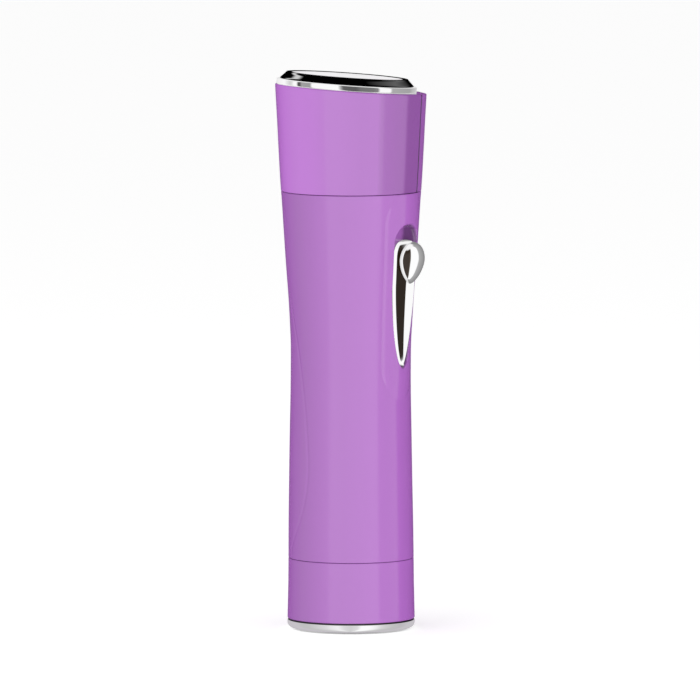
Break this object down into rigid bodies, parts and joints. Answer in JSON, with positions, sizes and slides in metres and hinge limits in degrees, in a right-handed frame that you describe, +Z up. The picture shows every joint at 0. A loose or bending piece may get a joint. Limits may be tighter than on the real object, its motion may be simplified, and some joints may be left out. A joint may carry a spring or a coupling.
{
  "type": "epilator",
  "caption": "Slim waisted handheld epilator with a slanted lift-off head, a tweezer drum under a slotted guard plate and a side slide switch.",
  "frame": {"origin": "mouth of the charging socket, in the plane of the foot, on the handle's axis", "axes": "+Z up the handle to the head, +X towards the low side of the slanted head"},
  "size_m": [0.0411, 0.041, 0.1517],
  "materials": {
    "lavender_plastic": "glossy lavender moulding",
    "chrome_trim": "bright plating",
    "black_gloss": "gloss black",
    "steel_plate": "fine satin",
    "steel_tweezer": "ground edges",
    "steel_shaft": "ground",
    "screw_steel": "zinc plated",
    "dark_frame": "moulded, fine grain",
    "white_pom": "acetal",
    "bronze": "sintered bronze",
    "seal_rubber": "soft",
    "foot_rubber": "soft matt",
    "board_green": "solder mask",
    "cell_wrap": "shrink wrap",
    "nickel": "nickel plated",
    "motor_steel": "zinc plated can",
    "magnet": "ferrite",
    "armature": "laminations and winding, lacquered",
    "lead_red": "insulation",
    "lead_black": "insulation",
    "switch_body": "moulded"
  },
  "bodies": {
    "housing": {"base_cap": "lavender_plastic", "base_foot": "foot_rubber", "base_plate": "dark_frame", "base_screws": "screw_steel", "base_seal": "seal_rubber", "base_trim_ring": "chrome_trim", "battery_cell": "cell_wrap", "battery_contact_base": "nickel", "battery_contact_top": "nickel", "charge_board": "board_green", "charge_lead_minus": "lead_black", "charge_lead_plus": "lead_red", "charge_socket": "switch_body", "circuit_board": "board_green", "deck_bush": "bronze", "deck_screws": "screw_steel", "handle_shell": "lavender_plastic", "head_seal": "seal_rubber", "inner_chassis": "dark_frame", "motor_can": "motor_steel", "motor_end_cap": "dark_frame", "motor_lead_minus": "lead_black", "motor_lead_plus": "lead_red", "motor_magnets": "magnet", "shaft_seal": "seal_rubber", "slide_switch_body": "switch_body", "top_deck": "dark_frame"},
    "switch": {"switch_slider": "chrome_trim", "switch_knob": "chrome_trim", "slider_carrier": "white_pom", "switch_lever": "switch_body"},
    "rotor": {"motor_armature": "armature", "motor_shaft": "steel_shaft", "drive_dog": "white_pom"},
    "head": {"head_shell": "lavender_plastic", "head_front_panel": "lavender_plastic", "head_trim_ring": "chrome_trim", "head_bezel": "black_gloss", "guard_plate": "steel_plate", "head_frame": "dark_frame", "head_screws": "screw_steel", "shaft_bush": "bronze", "axle_bush_front": "bronze", "axle_bush_rear": "bronze"},
    "head_shaft": {"head_drive_shaft": "white_pom"},
    "drum": {"drum_hub": "white_pom", "drum_axle": "steel_shaft", "tweezer_disc_1": "steel_tweezer", "tweezer_disc_2": "steel_tweezer", "tweezer_disc_3": "steel_tweezer", "tweezer_disc_4": "steel_tweezer", "tweezer_disc_5": "steel_tweezer", "tweezer_disc_6": "steel_tweezer"},
    "blades_rear": {"tweezer_blades_rear": "steel_tweezer"},
    "blades_front": {"tweezer_blades_front": "steel_tweezer"}
  },
  "joints": [
    {"name": "switch_slide", "type": "slide", "parent": "housing", "child": "switch", "axis": [0.0353, -0.0225, 0.9991], "range_m": [0, 0.0032]},
    {"name": "head_lift", "type": "slide", "parent": "housing", "child": "head", "axis": [0, 0, 1], "range_m": [0, 0.035]},
    {"name": "drum_spin", "type": "hinge", "parent": "head", "child": "drum", "pos_m": [0, 0, 0.1417], "axis": [0, 1, 0], "continuous": true},
    {"name": "head_shaft_spin", "type": "hinge", "parent": "head", "child": "head_shaft", "pos_m": [0, 0, 0.13], "axis": [0, 0, 1], "continuous": true},
    {"name": "motor_spin", "type": "hinge", "parent": "housing", "child": "rotor", "pos_m": [0, 0, 0.1], "axis": [0, 0, 1], "continuous": true},
    {"name": "pinch_rear", "type": "slide", "parent": "drum", "child": "blades_rear", "axis": [0, 1, 0], "range_m": [0, 0.00035]},
    {"name": "pinch_front", "type": "slide", "parent": "drum", "child": "blades_front", "axis": [0, -1, 0], "range_m": [0, 0.00035]}
  ],
  "couplings": [
    {"joint": "head_shaft_spin", "follows": "motor_spin", "ratio": 1},
    {"joint": "drum_spin", "follows": "motor_spin", "ratio": 0.33333},
    {"joint": "pinch_front", "follows": "pinch_rear", "ratio": 1}
  ]
}
